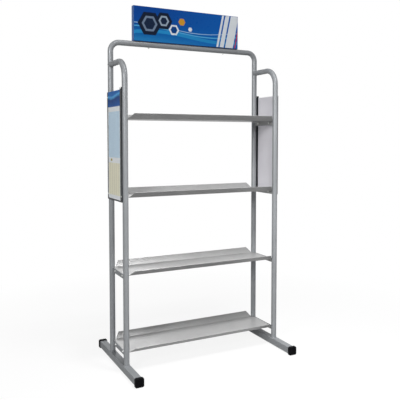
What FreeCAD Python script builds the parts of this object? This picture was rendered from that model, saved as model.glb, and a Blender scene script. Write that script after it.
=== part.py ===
import FreeCAD, Part
import os
import re
import Sketcher

# Display rack: a bent-tube frame on two square feet, four folded sheet shelves bolted
# between its side frames, a printed header tray on the top bar and two side panels.
# Frame: origin on the floor midway between the four uprights, X to the right as seen
# from the front, Y to the rear, Z up. Millimetres and degrees.

Vector = FreeCAD.Vector
Rotation = FreeCAD.Rotation

DRIVING = {
    # round tube frame
    "tube_diameter": 32, "tube_wall": 1.5,
    "upright_spacing": 970, "upright_depth": 240,
    "bar_level": 1840, "hoop_bend": 52,
    "brace_level": 1711, "post_bend": 95,
    "weld_gap": 0.1,
    # square feet and the end caps pushed over them
    "foot_size": 40, "foot_wall": 2, "foot_round": 4, "foot_length": 642,
    "cap_rim": 5, "cap_wall": 4, "cap_length": 18, "cap_edge": 4, "cap_play": 0.1,
    # cross bars that carry the shelves
    "crossbar_height": 25, "crossbar_thickness": 4,
    # folded shelves
    "first_shelf": 114, "shelf_pitch": 427.5,
    "shelf_sheet": 1.5, "shelf_bend": 1.5, "shelf_play": 2, "flat_depth": 234,
    "front_lip": 45, "front_angle": 40, "rear_lip": 41, "rear_angle": 51,
    "lip_inset": 27, "flange_height": 22, "flange_play": 0.2,
    # bolts through cross bar and flange
    "bolt_diameter": 6, "bolt_head": 10.5, "bolt_dome": 3.3, "bolt_flat": 3,
    "bolt_play": 0.4, "bolt_spread": 120, "bolt_drop": 11,
    "nut_width": 10, "nut_height": 5, "nut_play": 0.1, "thread_end": 2,
    # header tray on the top bar
    "header_width": 700, "header_height": 203, "header_sheet": 1.2, "header_round": 2,
    "header_bolts": 500, "graphic_margin": 3, "graphic_film": 0.3,
    # side panels that end a clearance below the posts' bends, their edge trims and screws
    "panel_width": 241, "panel_height": 607, "panel_clear": 52, "panel_sheet": 2,
    "panel_stand": 0.2, "trim_wall": 1.4, "trim_play": 0.1,
    "wide_trim": 24, "narrow_trim": 12, "sill_height": 8,
    "tab_height": 12, "tab_round": 4,
    "screw_diameter": 4, "screw_head": 7.6, "screw_dome": 2.4, "screw_flat": 2,
    "screw_length": 16, "screw_play": 0.2, "screw_offset": 6, "screw_inset": 30,
}

DERIVED = {
    "tube_radius": "tube_diameter / 2",
    "half_width": "upright_spacing / 2",
    "half_depth": "upright_depth / 2",
    "foot_top": "cap_rim + foot_size",
    "foot_centre": "cap_rim + foot_size / 2",
    "half_flat": "flat_depth / 2",
    # inside of the uprights, where the lips end
    "lip_half": "half_width - tube_radius - shelf_play",
    "wing_half": "half_depth - tube_radius - shelf_play",
    "flange_face": "half_width - crossbar_thickness / 2 - flange_play",
    "outer_bend": "shelf_bend + shelf_sheet",
    "front_reach": "front_lip * cos(front_angle)",
    "front_rise": "front_lip * sin(front_angle)",
    "rear_reach": "rear_lip * cos(rear_angle)",
    "rear_rise": "rear_lip * sin(rear_angle)",
    "front_set": "shelf_bend * tan(front_angle / 2)",
    "rear_set": "shelf_bend * tan(rear_angle / 2)",
    # packet that each shelf bolt holds
    "bolt_packet": "crossbar_thickness + flange_play + shelf_sheet",
    "bolt_length": "bolt_packet + nut_height + thread_end",
    "header_depth": "tube_diameter",
    "header_base": "bar_level + tube_radius",
    "header_packet": "header_sheet + tube_diameter",
    "header_bolt_length": "header_packet + nut_height + thread_end",
    "trim_slot": "panel_sheet + 2 * trim_play",
    "trim_thickness": "trim_slot + 2 * trim_wall",
    "trim_inside": "half_width + tube_radius + panel_stand",
    "panel_inside": "trim_inside + trim_wall + trim_play",
    "panel_top": "brace_level - post_bend - panel_clear - tab_height",
    "panel_bottom": "panel_top - panel_height",
    "trim_edge": "panel_width / 2 + trim_play + trim_wall",
    "trim_bottom": "panel_bottom - trim_play - trim_wall",
    "trim_length": "panel_height + trim_play + trim_wall",
    "screw_row": "half_depth - screw_offset",
}

SHELVES = ["bottom", "lower_middle", "upper_middle", "top"]
SIDES = {"left": -1, "right": 1}
ENDS = {"front": -1, "rear": 1}

doc = FreeCAD.newDocument("display_rack")
sheet = doc.addObject("Spreadsheet::Sheet", "sizes")
nodes = []


def fill_sheet():
    """Write every driving and derived size to its own named cell."""
    rows = [(name, str(value)) for name, value in DRIVING.items()]
    rows += [(name, "=" + rule) for name, rule in DERIVED.items()]
    for row, (name, content) in enumerate(rows, start=1):
        sheet.set(f"A{row}", name)
        sheet.set(f"B{row}", content)
        sheet.setAlias(f"B{row}", name)
    doc.recompute()


def formula(rule):
    """Turn a rule written with plain size names into one that reads the sheet."""
    names = sorted(list(DRIVING) + list(DERIVED), key=len, reverse=True)
    return re.sub(r"\b(" + "|".join(names) + r")\b", r"sizes.\1", str(rule))


def value(rule):
    """Number that a rule gives now."""
    result = sheet.evalExpression(formula(rule))
    return float(getattr(result, "Value", result))


def bind(thing, **rules):
    """Tie properties of an object to rules of the sheet."""
    for name, rule in rules.items():
        thing.setExpression(name, formula(rule))


def place(thing, x=0, y=0, z=0, axis=None, angle=0):
    """Put an object at a place that follows the sheet, turned about one axis."""
    if axis is not None:
        thing.Placement.Rotation = Rotation(axis, angle)
    for name, rule in (("x", x), ("y", y), ("z", z)):
        thing.setExpression(f"Placement.Base.{name}", formula(rule))


def keep(thing, label):
    """Name a finished sub-part and list it for export."""
    thing.Label = label
    nodes.append(thing)
    return thing


def new_body(label):
    body = doc.addObject("PartDesign::Body", "body_" + label)
    return keep(body, label)


def new_sketch(body, plane, name, offset=0):
    """Sketch on one of the body's own origin planes, moved along its normal."""
    sketch = body.newObject("Sketcher::SketchObject", name)
    features = body.Origin.OriginFeatures
    support = next(feature for feature in features if feature.Role == plane)
    sketch.AttachmentSupport = [(support, "")]
    sketch.MapMode = "FlatFace"
    bind(sketch, **{"AttachmentOffset.Base.z": offset})
    return sketch


def arc_between(start, end, radius):
    """Arc from start to end: to the left of the chord for a positive radius."""
    chord = end - start
    middle = (start + end) * 0.5
    side = Vector(-chord.y, chord.x, 0).normalize()
    height = max(radius ** 2 - chord.Length ** 2 / 4, 0) ** 0.5
    centre = middle + side * (height if radius > 0 else -height)
    first, last = (start, end) if radius > 0 else (end, start)
    circle = Part.Circle(centre, Vector(0, 0, 1), abs(radius))
    return Part.ArcOfCircle(circle, circle.parameter(first), circle.parameter(last))


def draw(sketch, points, arcs=None, closed=True):
    """Outline through points given by rules, all tied to the sheet.

    arcs maps a segment's number to its radius rule and turn: 1 for an arc that turns
    left on its way to the next point and -1 for one that turns right.
    """
    arcs = arcs or {}
    spots = [Vector(value(x), value(y), 0) for x, y in points]
    count = len(points) if closed else len(points) - 1
    ends = []
    for number in range(count):
        start = spots[number]
        end = spots[(number + 1) % len(spots)]
        if number in arcs:
            rule, turn = arcs[number]
            index = sketch.addGeometry(arc_between(start, end, turn * value(rule)), False)
            ends.append((index, 1, 2) if turn > 0 else (index, 2, 1))
        else:
            index = sketch.addGeometry(Part.LineSegment(start, end), False)
            ends.append((index, 1, 2))
    for number in range(count if closed else count - 1):
        index, _, last = ends[number]
        following, first, _ = ends[(number + 1) % count]
        sketch.addConstraint(Sketcher.Constraint("Coincident", index, last, following, first))
    for number, point in enumerate(points):
        index, position = ends[number][:2] if number < count else (ends[-1][0], ends[-1][2])
        fix_point(sketch, index, position, point, spots[number])
    for number, (rule, _) in arcs.items():
        tie(sketch, Sketcher.Constraint("Radius", ends[number][0], value(rule)), rule)


def fix_point(sketch, index, position, point, spot):
    """Hold one corner of an outline at its two rules."""
    for name, rule, distance, line in (("X", point[0], spot.x, -2), ("Y", point[1], spot.y, -1)):
        if rule == 0:
            sketch.addConstraint(Sketcher.Constraint("PointOnObject", index, position, line))
        else:
            constraint = Sketcher.Constraint("Distance" + name, -1, 1, index, position, distance)
            tie(sketch, constraint, rule)


def tie(sketch, constraint, rule):
    number = sketch.addConstraint(constraint)
    sketch.setExpression(f"Constraints[{number}]", formula(rule))


def circle(sketch, radius, x=0, y=0):
    """Circle whose radius and centre follow the sheet."""
    spot = Vector(value(x), value(y), 0)
    index = sketch.addGeometry(Part.Circle(spot, Vector(0, 0, 1), value(radius)), False)
    fix_point(sketch, index, 3, (x, y), spot)
    tie(sketch, Sketcher.Constraint("Radius", index, value(radius)), radius)


def rectangle(sketch, x0, x1, y0, y1):
    draw(sketch, [(x0, y0), (x1, y0), (x1, y1), (x0, y1)])


def rounded_square(sketch, size, corner):
    """Square about the sketch's origin with arcs at its corners."""
    far = f"({size}) / 2"
    near = f"({size}) / 2 - ({corner})"
    points = [(f"-({near})", f"-({far})"), (near, f"-({far})"),
              (far, f"-({near})"), (far, near),
              (near, far), (f"-({near})", far),
              (f"-({far})", near), (f"-({far})", f"-({near})")]
    draw(sketch, points, {number: (corner, 1) for number in (1, 3, 5, 7)})


def pad(body, sketch, length, symmetric=False, reverse=False):
    feature = body.newObject("PartDesign::Pad", "pad_" + sketch.Name)
    feature.Profile = sketch
    feature.SideType = "Symmetric" if symmetric else "One side"
    feature.Reversed = reverse
    bind(feature, Length=length)
    return feature


def cut_through(body, sketch):
    feature = body.newObject("PartDesign::Pocket", "cut_" + sketch.Name)
    feature.Profile = sketch
    feature.SideType = "Symmetric"
    feature.Type = "ThroughAll"
    return feature


def cut_depth(body, sketch, depth, reverse=False):
    feature = body.newObject("PartDesign::Pocket", "cut_" + sketch.Name)
    feature.Profile = sketch
    feature.Reversed = reverse
    bind(feature, Length=depth)
    return feature


def round_edges(body, base, radius, wanted):
    """Fillet the edges whose middle passes a test."""
    doc.recompute()
    names = []
    for number, edge in enumerate(base.Shape.Edges, start=1):
        if wanted(edge.CenterOfMass):
            names.append(f"Edge{number}")
    feature = body.newObject("PartDesign::Fillet", "round_" + base.Name)
    feature.Base = (base, names)
    bind(feature, Radius=radius)
    return feature


def bent_tube(body, points, arcs, plane):
    """Tube swept along a path of straight runs and tangent bends that starts upward."""
    route = new_sketch(body, plane, "route")
    draw(route, points, arcs, closed=False)
    section = new_sketch(body, "XY_Plane", "section")
    circle(section, "tube_radius")
    circle(section, "tube_radius - tube_wall")
    feature = body.newObject("PartDesign::AdditivePipe", "pipe")
    feature.Profile = section
    feature.Spine = route
    return feature


def screw_level(name):
    """Height of a side panel's screws above the floor."""
    levels = {"low": "panel_bottom + screw_inset",
              "high": "panel_top - screw_inset",
              "tab": "panel_top + tab_height / 2"}
    return levels[name]


def screw_levels(side, end):
    """A panel's screws at one end: both panels are one part, and the right one is turned about."""
    return ["low", "tab"] if end == side else ["low", "high"]


def screw_holes(body, side, end, axis_x, row):
    """Holes in the outer wall of an upright for the side panel's screws."""
    outside = f"{axis_x} + ({side}) * tube_radius"
    sketch = new_sketch(body, "YZ_Plane", "screw_holes", outside)
    for name in screw_levels(side, end):
        circle(sketch, "(screw_diameter + screw_play) / 2", row, f"{screw_level(name)} - foot_top")
    cut_depth(body, sketch, "tube_radius", reverse=side < 0)


def rear_hoop():
    """Both rear uprights and the top bar, one tube bent twice."""
    body = new_body("rear_hoop")
    height = "bar_level - foot_top"
    points = [(0, 0), (0, f"{height} - hoop_bend"), ("hoop_bend", height),
              ("upright_spacing - hoop_bend", height),
              ("upright_spacing", f"{height} - hoop_bend"), ("upright_spacing", 0)]
    bent_tube(body, points, {1: ("hoop_bend", -1), 3: ("hoop_bend", -1)}, "XZ_Plane")
    holes = new_sketch(body, "XY_Plane", "header_holes", height)
    for side in SIDES.values():
        circle(holes, "(bolt_diameter + bolt_play) / 2", f"half_width + ({side}) * header_bolts / 2")
    cut_through(body, holes)
    screw_holes(body, -1, ENDS["rear"], "0", "-screw_offset")
    screw_holes(body, 1, ENDS["rear"], "upright_spacing", "-screw_offset")
    place(body, "-half_width", "half_depth", "foot_top")


def front_post(label, side):
    """Front upright whose top bends back to the rear upright, where it is coped."""
    body = new_body("front_post_" + label)
    height = "brace_level - foot_top"
    points = [(0, 0), (0, f"{height} - post_bend"), ("post_bend", height),
              ("upright_depth", height)]
    bent_tube(body, points, {1: ("post_bend", -1)}, "YZ_Plane")
    cope = new_sketch(body, "XY_Plane", "cope")
    circle(cope, "tube_radius + weld_gap", 0, "upright_depth")
    cut_through(body, cope)
    screw_holes(body, side, ENDS["front"], "0", "screw_offset")
    place(body, f"({side}) * half_width", "-half_depth", "foot_top")


def foot(label, side):
    """Square tube that lies front to back under one side frame."""
    body = new_body("foot_" + label)
    section = new_sketch(body, "XZ_Plane", "section")
    rounded_square(section, "foot_size", "foot_round")
    rounded_square(section, "foot_size - 2 * foot_wall", "foot_round - foot_wall")
    pad(body, section, "foot_length", symmetric=True)
    place(body, f"({side}) * half_width", 0, "foot_centre")


def foot_cap(label, side, end):
    """Moulded square cup over a foot's end, with its origin in the middle of its mouth."""
    body = new_body("foot_cap_" + label)
    outline = new_sketch(body, "XZ_Plane", "outline")
    rounded_square(outline, "foot_size + 2 * cap_rim", "foot_round + cap_rim")
    cup = pad(body, outline, "cap_length")
    outside = -value("cap_length")
    round_edges(body, cup, "cap_edge", lambda spot: abs(spot.y - outside) < 0.01)
    mouth = new_sketch(body, "XZ_Plane", "mouth")
    rounded_square(mouth, "foot_size + 2 * cap_play", "foot_round + cap_play")
    cut_depth(body, mouth, "cap_length - cap_wall", reverse=True)
    turn = 0 if end < 0 else 180
    place(body, f"({side}) * half_width", f"({end}) * (foot_length / 2 + cap_wall - cap_length)",
          "foot_centre", Vector(0, 0, 1), turn)


def shelf_level(number):
    """Height of a shelf's upper face above the floor."""
    return f"first_shelf + {number} * shelf_pitch"


def crossbar(label, side, number):
    """Flat bar welded between the uprights, its top level with the shelf."""
    body = new_body("crossbar_" + label)
    section = new_sketch(body, "XZ_Plane", "section")
    rectangle(section, "-crossbar_thickness / 2", "crossbar_thickness / 2", "-crossbar_height", 0)
    pad(body, section, "upright_depth - tube_diameter - 2 * weld_gap", symmetric=True)
    bolt_holes(body)
    place(body, f"({side}) * half_width", 0, shelf_level(number))


def bolt_holes(body):
    """Two holes along X, below the shelf's upper face."""
    holes = new_sketch(body, "YZ_Plane", "bolt_holes")
    for end in ENDS.values():
        circle(holes, "(bolt_diameter + bolt_play) / 2", f"({end}) * bolt_spread / 2", "-bolt_drop")
    cut_through(body, holes)


def lip_points(end, reach, rise, angle, setback):
    """Corners of one flared lip, from the flat's upper face round to its underside."""
    root = f"({end}) * half_flat"
    return {
        "flat_top": (f"{root} - ({end}) * {setback}", 0),
        "bend_top": (f"{root} + ({end}) * {setback} * cos({angle})", f"{setback} * sin({angle})"),
        "tip_top": (f"{root} + ({end}) * {reach}", rise),
        "tip_under": (f"{root} + ({end}) * ({reach} + shelf_sheet * sin({angle}))",
                      f"{rise} - shelf_sheet * cos({angle})"),
        "bend_under": (f"{root} + ({end}) * ({setback} * cos({angle}) + shelf_sheet * sin({angle}))",
                       f"{setback} * sin({angle}) - shelf_sheet * cos({angle})"),
        "flat_under": (f"{root} - ({end}) * {setback}", "-shelf_sheet"),
    }


def shelf_section(body):
    """Flat with a flared lip at the front and at the rear, bent from one sheet."""
    section = new_sketch(body, "YZ_Plane", "section")
    front = lip_points(-1, "front_reach", "front_rise", "front_angle", "front_set")
    rear = lip_points(1, "rear_reach", "rear_rise", "rear_angle", "rear_set")
    order = ["flat_top", "bend_top", "tip_top", "tip_under", "bend_under", "flat_under"]
    points = [rear[name] for name in order] + [front[name] for name in reversed(order)]
    arcs = {0: ("shelf_bend", 1), 4: ("outer_bend", -1),
            6: ("outer_bend", -1), 10: ("shelf_bend", 1)}
    draw(section, points, arcs)
    pad(body, section, "2 * lip_half", symmetric=True)


def shelf_wings(body):
    """Tongue of the flat between the uprights on each side, folded down as a flange."""
    wings = new_sketch(body, "XZ_Plane", "wings")
    root = "lip_half - shelf_sheet"
    for side in SIDES.values():
        points = [(root, 0), ("flange_face - outer_bend", 0), ("flange_face", "-outer_bend"),
                  ("flange_face", "-flange_height"),
                  ("flange_face - shelf_sheet", "-flange_height"),
                  ("flange_face - shelf_sheet", "-outer_bend"),
                  ("flange_face - outer_bend", "-shelf_sheet"), (root, "-shelf_sheet")]
        points = [(f"({side}) * ({x})", y) for x, y in points]
        draw(wings, points, {1: ("outer_bend", -side), 5: ("shelf_bend", side)})
    pad(body, wings, "2 * wing_half", symmetric=True)


def lip_mitres(body):
    """Slanting ends of both lips."""
    mitres = new_sketch(body, "XY_Plane", "mitres")
    lips = ((-1, "front_reach + shelf_sheet"), (1, "rear_reach + shelf_sheet"))
    for side in SIDES.values():
        for end, reach in lips:
            root = f"({end}) * half_flat"
            tip = f"({end}) * (half_flat + {reach})"
            outside = f"({side}) * (lip_half + shelf_sheet)"
            draw(mitres, [(f"({side}) * lip_half", root), (outside, root), (outside, tip),
                          (f"({side}) * (lip_half - lip_inset)", tip)])
    cut_through(body, mitres)


def shelf(label, number):
    """One folded shelf, its upper face at the body's origin level."""
    body = new_body("shelf_" + label)
    shelf_section(body)
    shelf_wings(body)
    lip_mitres(body)
    bolt_holes(body)
    place(body, 0, 0, shelf_level(number))


def turned_profile(name, radius, length, head, flat, dome):
    """Half section of a domed fastener: under its head at the origin, shank downward."""
    sketch = doc.addObject("Sketcher::SketchObject", name)
    sketch.Placement.Rotation = Rotation(Vector(1, 0, 0), 90)
    points = [(0, dome), (0, f"-({length})"), (radius, f"-({length})"), (radius, 0),
              (f"{head} / 2", 0), (f"{flat} / 2", dome)]
    reach = f"({head} - {flat}) / 2"
    arc = f"(({reach}) ^ 2 + ({dome}) ^ 2) / (2 * {dome})"
    draw(sketch, points, {4: (arc, 1)})
    return sketch


def nut_profile():
    """Hexagon with a round bore."""
    sketch = doc.addObject("Sketcher::SketchObject", "nut_profile")
    corner = "nut_width / 2 / cos(30)"
    points = [(f"{corner} * cos({60 * turn})", f"{corner} * sin({60 * turn})")
              for turn in range(6)]
    points[0] = (corner, 0)
    points[3] = (f"-{corner}", 0)
    draw(sketch, points)
    circle(sketch, "(bolt_diameter + nut_play) / 2")
    return sketch


def fastener(profile, x, y, z, axis, angle):
    """Solid turned from a half section, at one place."""
    solid = doc.addObject("Part::Revolution", "turned")
    solid.Source = profile
    solid.Axis = Vector(0, 0, 1)
    solid.Base = Vector(0, 0, 0)
    solid.Angle = 360
    solid.Solid = True
    place(solid, x, y, z, axis, angle)
    return solid


def nut(profile, x, y, z, axis, angle):
    """Nut whose upper face is at its place and which reaches down its own axis."""
    solid = doc.addObject("Part::Extrusion", "nut")
    solid.Base = profile
    solid.DirMode = "Custom"
    solid.Dir = Vector(0, 0, -1)
    solid.Solid = True
    bind(solid, LengthFwd="nut_height")
    place(solid, x, y, z, axis, angle)
    return solid


def group(label, solids):
    """Identical fasteners as one node of separate solids."""
    compound = doc.addObject("Part::Compound", "group_" + label)
    compound.Links = solids
    keep(compound, label)


def shelf_fasteners(label, number, bolt_sketch, nut_sketch):
    """Four bolts from outside and four nuts behind the flanges."""
    bolts = []
    nuts = []
    height = f"{shelf_level(number)} - bolt_drop"
    for side in SIDES.values():
        head = f"({side}) * (half_width + crossbar_thickness / 2)"
        seat = f"{head} - ({side}) * bolt_packet"
        for end in ENDS.values():
            row = f"({end}) * bolt_spread / 2"
            bolts.append(fastener(bolt_sketch, head, row, height, Vector(0, 1, 0), side * 90))
            nuts.append(nut(nut_sketch, seat, row, height, Vector(0, 1, 0), side * 90))
    group("shelf_bolts_" + label, bolts)
    group("shelf_nuts_" + label, nuts)


def header_tray():
    """Shallow tray with its open side to the rear, standing on the top bar."""
    body = new_body("header_tray")
    outline = ("-header_width / 2", "header_width / 2", 0, "header_height")
    face = new_sketch(body, "XZ_Plane", "face")
    rectangle(face, *outline)
    pad(body, face, "header_sheet", reverse=True)
    rim = new_sketch(body, "XZ_Plane", "rim")
    rectangle(rim, *outline)
    rectangle(rim, "-header_width / 2 + header_sheet", "header_width / 2 - header_sheet",
              "header_sheet", "header_height - header_sheet")
    tray = pad(body, rim, "header_depth", reverse=True)
    tray = round_edges(body, tray, "header_round", lambda spot: abs(spot.y) < 0.01)
    holes = new_sketch(body, "XY_Plane", "holes")
    for side in SIDES.values():
        circle(holes, "(bolt_diameter + bolt_play) / 2", f"({side}) * header_bolts / 2",
               "header_depth / 2")
    cut_depth(body, holes, "2 * header_sheet", reverse=True)
    place(body, 0, "half_depth - header_depth / 2", "header_base")


def header_graphic():
    """Printed film on the face of the header tray."""
    body = new_body("header_graphic")
    face = new_sketch(body, "XZ_Plane", "face")
    rectangle(face, "-header_width / 2 + graphic_margin", "header_width / 2 - graphic_margin",
              "graphic_margin", "header_height - graphic_margin")
    pad(body, face, "graphic_film")
    place(body, 0, "half_depth - header_depth / 2", "header_base")


def header_fasteners(bolt_sketch, nut_sketch):
    """Two bolts down through the tray and the top bar, with a nut under each."""
    bolts = []
    nuts = []
    for side in SIDES.values():
        column = f"({side}) * header_bolts / 2"
        top = "header_base + header_sheet"
        bolts.append(fastener(bolt_sketch, column, "half_depth", top, None, 0))
        nuts.append(nut(nut_sketch, column, "half_depth", "bar_level - tube_radius", None, 0))
    group("header_bolts", bolts)
    group("header_nuts", nuts)


def side_panel(label, side):
    """Flat panel outside one pair of uprights, with holes where its screws pass."""
    body = new_body("side_panel_" + label)
    face = new_sketch(body, "YZ_Plane", "face")
    rectangle(face, "-panel_width / 2", "panel_width / 2", 0, "panel_height")
    pad(body, face, "panel_sheet", reverse=side < 0)
    panel_holes(body, "panel_bottom", [(side, "low"), (-side, "low"), (-side, "high")])
    place(body, f"({side}) * panel_inside", 0, "panel_bottom")


def panel_holes(body, base, spots):
    """Screw holes along X, at heights measured from the body's own base."""
    holes = new_sketch(body, "YZ_Plane", "screw_holes")
    for end, level in spots:
        circle(holes, "(screw_diameter + screw_play) / 2", f"({end}) * screw_row",
               f"{screw_level(level)} - ({base})")
    cut_through(body, holes)


def side_chart(label, side):
    """Printed film on the outside of one panel, between its trims."""
    body = new_body("side_chart_" + label)
    face = new_sketch(body, "YZ_Plane", "face")
    rectangle(face, "-trim_edge + wide_trim + trim_play", "trim_edge - narrow_trim - trim_play",
              "sill_height", "panel_height")
    pad(body, face, "graphic_film", reverse=side < 0)
    place(body, f"({side}) * (panel_inside + panel_sheet)", 0, "panel_bottom")


def trim_channel(body, side, end, width):
    """Channel over one upright edge of a panel."""
    section = new_sketch(body, "XY_Plane", "section")
    edge = f"({end}) * trim_edge"
    web = f"({end}) * (trim_edge - trim_wall)"
    lips = f"({end}) * (trim_edge - {width})"
    points = [(0, edge), ("trim_thickness", edge), ("trim_thickness", lips),
              ("trim_thickness - trim_wall", lips), ("trim_thickness - trim_wall", web),
              ("trim_wall", web), ("trim_wall", lips), (0, lips)]
    draw(section, [(f"({side}) * ({x})", y) for x, y in points])
    return pad(body, section, "trim_length")


def trim_tab(body, side, end):
    """Tab above the panel, rounded at its free corner."""
    tab = new_sketch(body, "YZ_Plane", "tab")
    top = "trim_length + tab_height"
    edge = f"({end}) * trim_edge"
    inner = f"({end}) * (trim_edge - wide_trim)"
    rounded = f"({end}) * (trim_edge - wide_trim + tab_round)"
    draw(tab, [(edge, "trim_length"), (inner, "trim_length"), (inner, f"{top} - tab_round"),
               (rounded, top), (edge, top)], {2: ("tab_round", -end)})
    pad(body, tab, "trim_thickness", reverse=side < 0)


def panel_trim(label, side, end_label, end):
    """Edge trim. The wide one has a tab that is screwed to the upright: front left, rear right."""
    body = new_body(f"panel_trim_{label}_{end_label}")
    trim_channel(body, side, end, "wide_trim" if end == side else "narrow_trim")
    if end == side:
        trim_tab(body, side, end)
    panel_holes(body, "trim_bottom", [(end, level) for level in screw_levels(side, end)])
    place(body, f"({side}) * trim_inside", 0, "trim_bottom")


def panel_sill(label, side):
    """Low channel under a panel, between its two trims."""
    body = new_body("panel_sill_" + label)
    section = new_sketch(body, "XZ_Plane", "section")
    points = [(0, 0), ("trim_thickness", 0), ("trim_thickness", "sill_height"),
              ("trim_thickness - trim_wall", "sill_height"), ("trim_thickness - trim_wall", "trim_wall"),
              ("trim_wall", "trim_wall"), ("trim_wall", "sill_height"), (0, "sill_height")]
    draw(section, [(f"({side}) * ({x})" if x else 0, y) for x, y in points])
    pad(body, section, "2 * trim_edge - wide_trim - narrow_trim - 2 * trim_play", symmetric=True)
    place(body, f"({side}) * trim_inside", f"({-side}) * (wide_trim - narrow_trim) / 2", "trim_bottom")


def panel_screws(label, side, screw_sketch):
    """Four screws from outside through trims and panel into the uprights."""
    spots = [(end, level) for end in ENDS.values() for level in screw_levels(side, end)]
    head = f"({side}) * (trim_inside + trim_thickness)"
    screws = []
    for end, level in spots:
        row = f"({end}) * screw_row"
        screws.append(fastener(screw_sketch, head, row, screw_level(level), Vector(0, 1, 0),
                               side * 90))
    group("panel_screws_" + label, screws)


def build():
    fill_sheet()
    rear_hoop()
    bolt_sketch = turned_profile("bolt_profile", "bolt_diameter / 2", "bolt_length",
                                 "bolt_head", "bolt_flat", "bolt_dome")
    long_sketch = turned_profile("long_bolt_profile", "bolt_diameter / 2", "header_bolt_length",
                                 "bolt_head", "bolt_flat", "bolt_dome")
    screw_sketch = turned_profile("screw_profile", "screw_diameter / 2", "screw_length",
                                  "screw_head", "screw_flat", "screw_dome")
    nut_sketch = nut_profile()
    for label, side in SIDES.items():
        front_post(label, side)
        foot(label, side)
        for end_label, end in ENDS.items():
            foot_cap(f"{label}_{end_label}", side, end)
        for number, shelf_label in enumerate(SHELVES):
            crossbar(f"{label}_{shelf_label}", side, number)
        side_panel(label, side)
        for end_label, end in ENDS.items():
            panel_trim(label, side, end_label, end)
        panel_sill(label, side)
        panel_screws(label, side, screw_sketch)
    for number, label in enumerate(SHELVES):
        shelf(label, number)
        shelf_fasteners(label, number, bolt_sketch, nut_sketch)
    header_tray()
    header_graphic()
    header_fasteners(long_sketch, nut_sketch)
    side_chart("left", SIDES["left"])
    doc.recompute()


def check():
    """Stop if any object failed or any sub-part is empty or not sound."""
    for thing in doc.Objects:
        if "Invalid" in thing.State or "Error" in thing.State:
            raise RuntimeError(f"{thing.Label} failed: {thing.State}")
    for node in nodes:
        if node.Shape.isNull() or not node.Shape.isValid() or not node.Shape.Solids:
            raise RuntimeError(f"{node.Label} has no sound shape")


def export():
    os.makedirs("parts", exist_ok=True)
    for node in nodes:
        node.Shape.exportStep(f"parts/{node.Label}.step")
        box = node.Shape.BoundBox
        print(f"{node.Label:28s} solids {len(node.Shape.Solids)} volume {node.Shape.Volume:12.1f}"
              f"  x {box.XMin:8.1f} {box.XMax:8.1f}  y {box.YMin:7.1f} {box.YMax:7.1f}"
              f"  z {box.ZMin:7.1f} {box.ZMax:7.1f}")


build()
check()
export()
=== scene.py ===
# %% [markdown]
# # A steel display rack, dressed in Blender
#
# The rack comes from its CAD model: a bent-tube frame on two square feet, four folded
# sheet shelves, a header on the top bar and two side panels. The solids already have
# their real sizes, so this script only adds what CAD leaves out: finishes, weld beads,
# real fasteners, a floor, lamps and a camera. Units are metres and Z is up.

# %% Load the frame
import bpy
import bmesh
from math import cos, pi, radians, sin, sqrt, tau
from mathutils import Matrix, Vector


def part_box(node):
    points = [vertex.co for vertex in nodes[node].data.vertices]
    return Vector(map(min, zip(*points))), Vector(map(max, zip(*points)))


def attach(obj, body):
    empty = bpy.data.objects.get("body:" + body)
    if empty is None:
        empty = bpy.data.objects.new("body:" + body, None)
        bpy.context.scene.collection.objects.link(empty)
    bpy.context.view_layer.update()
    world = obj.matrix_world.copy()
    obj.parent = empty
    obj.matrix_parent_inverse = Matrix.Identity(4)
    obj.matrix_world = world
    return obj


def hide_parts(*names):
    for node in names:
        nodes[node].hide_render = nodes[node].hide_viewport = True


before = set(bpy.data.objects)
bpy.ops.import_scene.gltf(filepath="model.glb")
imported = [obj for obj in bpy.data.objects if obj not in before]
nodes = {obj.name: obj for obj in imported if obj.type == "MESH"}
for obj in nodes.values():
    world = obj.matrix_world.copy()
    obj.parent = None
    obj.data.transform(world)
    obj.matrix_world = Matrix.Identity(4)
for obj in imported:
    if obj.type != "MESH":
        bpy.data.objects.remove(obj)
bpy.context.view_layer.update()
SIDES = (-1, 1)
print("CAD nodes:", len(nodes))

# %% [markdown]
# ## Helpers for node trees
#
# The world, the materials and the Geometry Nodes groups are all trees of nodes. Three
# small helpers keep them short: one draws wires between sockets, one finds the sockets
# that a node shows in its present mode, and one does a step of arithmetic.

# %% Node helpers
def wire(tree, *pairs):
    for start, end in pairs:
        tree.links.new(start, end)


def live(sockets):
    return [socket for socket in sockets if socket.enabled]


def calc(tree, operation, *values):
    """Math node on numbers and on other nodes' outputs."""
    node = tree.nodes.new("ShaderNodeMath")
    node.operation = operation
    for socket, value in zip(node.inputs, values):
        if isinstance(value, (int, float)):
            socket.default_value = value
        else:
            wire(tree, (value, socket))
    return node.outputs[0]


print("node helpers are ready")

# %% [markdown]
# ## Camera
#
# The uprights stay nearly parallel in the picture, so the photographer stood well back
# and shifted the lens a little instead of tilting it far down. A shift moves the picture
# on the sensor without turning the camera, which keeps upright edges upright.

# %% Camera
SENSOR, LENS, SHIFT = 36.0, 50.476, -0.08
STAND = (-1.4940, -2.9947, 1.2881)
YAW, PITCH = 26.942, 2.991
MIDDLE = Vector((0, 0, 1.0))


def make_camera():
    data = bpy.data.cameras.new("camera")
    data.sensor_width = SENSOR
    data.lens = LENS
    data.shift_y = SHIFT
    camera = bpy.data.objects.new("camera", data)
    camera.location = STAND
    camera.rotation_euler = (radians(90 - PITCH), 0, radians(-YAW))
    bpy.context.scene.collection.objects.link(camera)
    bpy.context.scene.camera = camera
    return camera


camera = make_camera()
print("camera is", round((camera.location - MIDDLE).length, 3), "m from the middle")

# %% [markdown]
# ## Light
#
# The picture is a product shot on white. Its main soft box stands to the left of the
# camera, so that the round tubes turn from light to dark. A small lamp hangs close in
# front of the rack and shines straight down on the shelves and the feet, and a large one
# high above gives the top bar its bright line. Weaker ones in front, behind and to the
# right fill the shadows. The lamps only light the rack. The white behind it comes from
# the world, which is full white for rays that reach the camera straight or by a
# reflection, and a faint grey for all others.

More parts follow.
